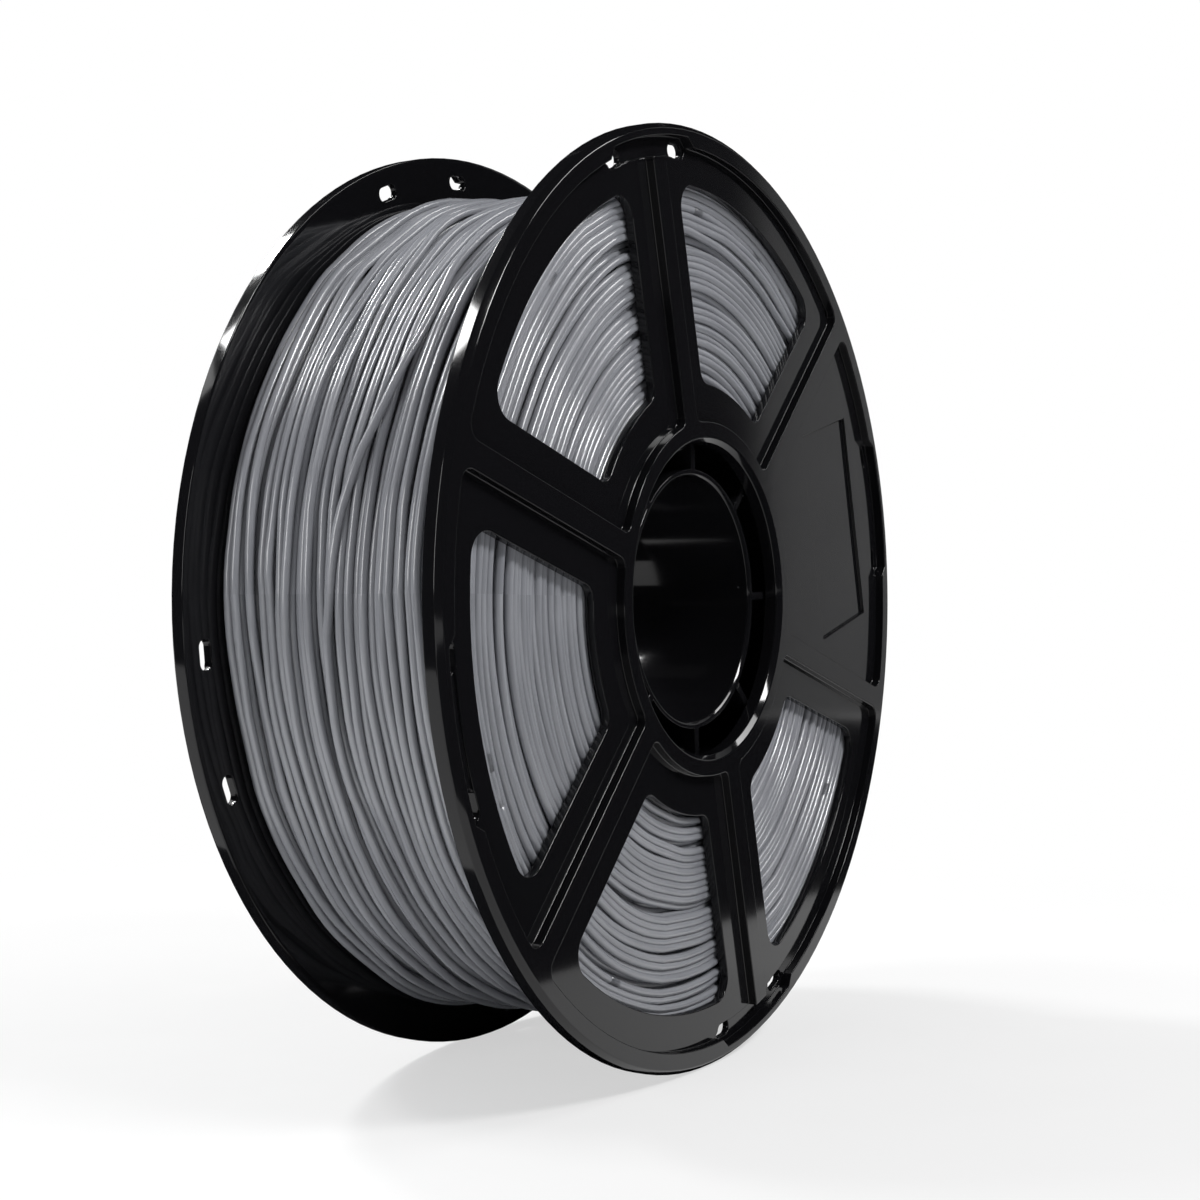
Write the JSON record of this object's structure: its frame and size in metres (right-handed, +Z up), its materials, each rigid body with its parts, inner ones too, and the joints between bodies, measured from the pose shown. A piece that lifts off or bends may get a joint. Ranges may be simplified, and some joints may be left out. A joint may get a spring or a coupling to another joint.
{
  "type": "filament spool",
  "caption": "Full spool of 3-D printer filament: windowed black flanges with clip notches and a blank label bed on a ribbed core, wound with silver-grey filament.",
  "frame": {"origin": "middle of the bore, halfway between the outer faces", "axes": "+Y along the bore from the front flange to the rear flange, +Z up, +X to the right seen from the front"},
  "size_m": [0.2, 0.062, 0.2],
  "materials": {
    "black_plastic": "gloss",
    "grey_filament": "satin"
  },
  "bodies": {
    "root": {"front_flange": "black_plastic", "rear_flange": "black_plastic", "core": "black_plastic", "filament_winding": "grey_filament"}
  },
  "joints": []
}
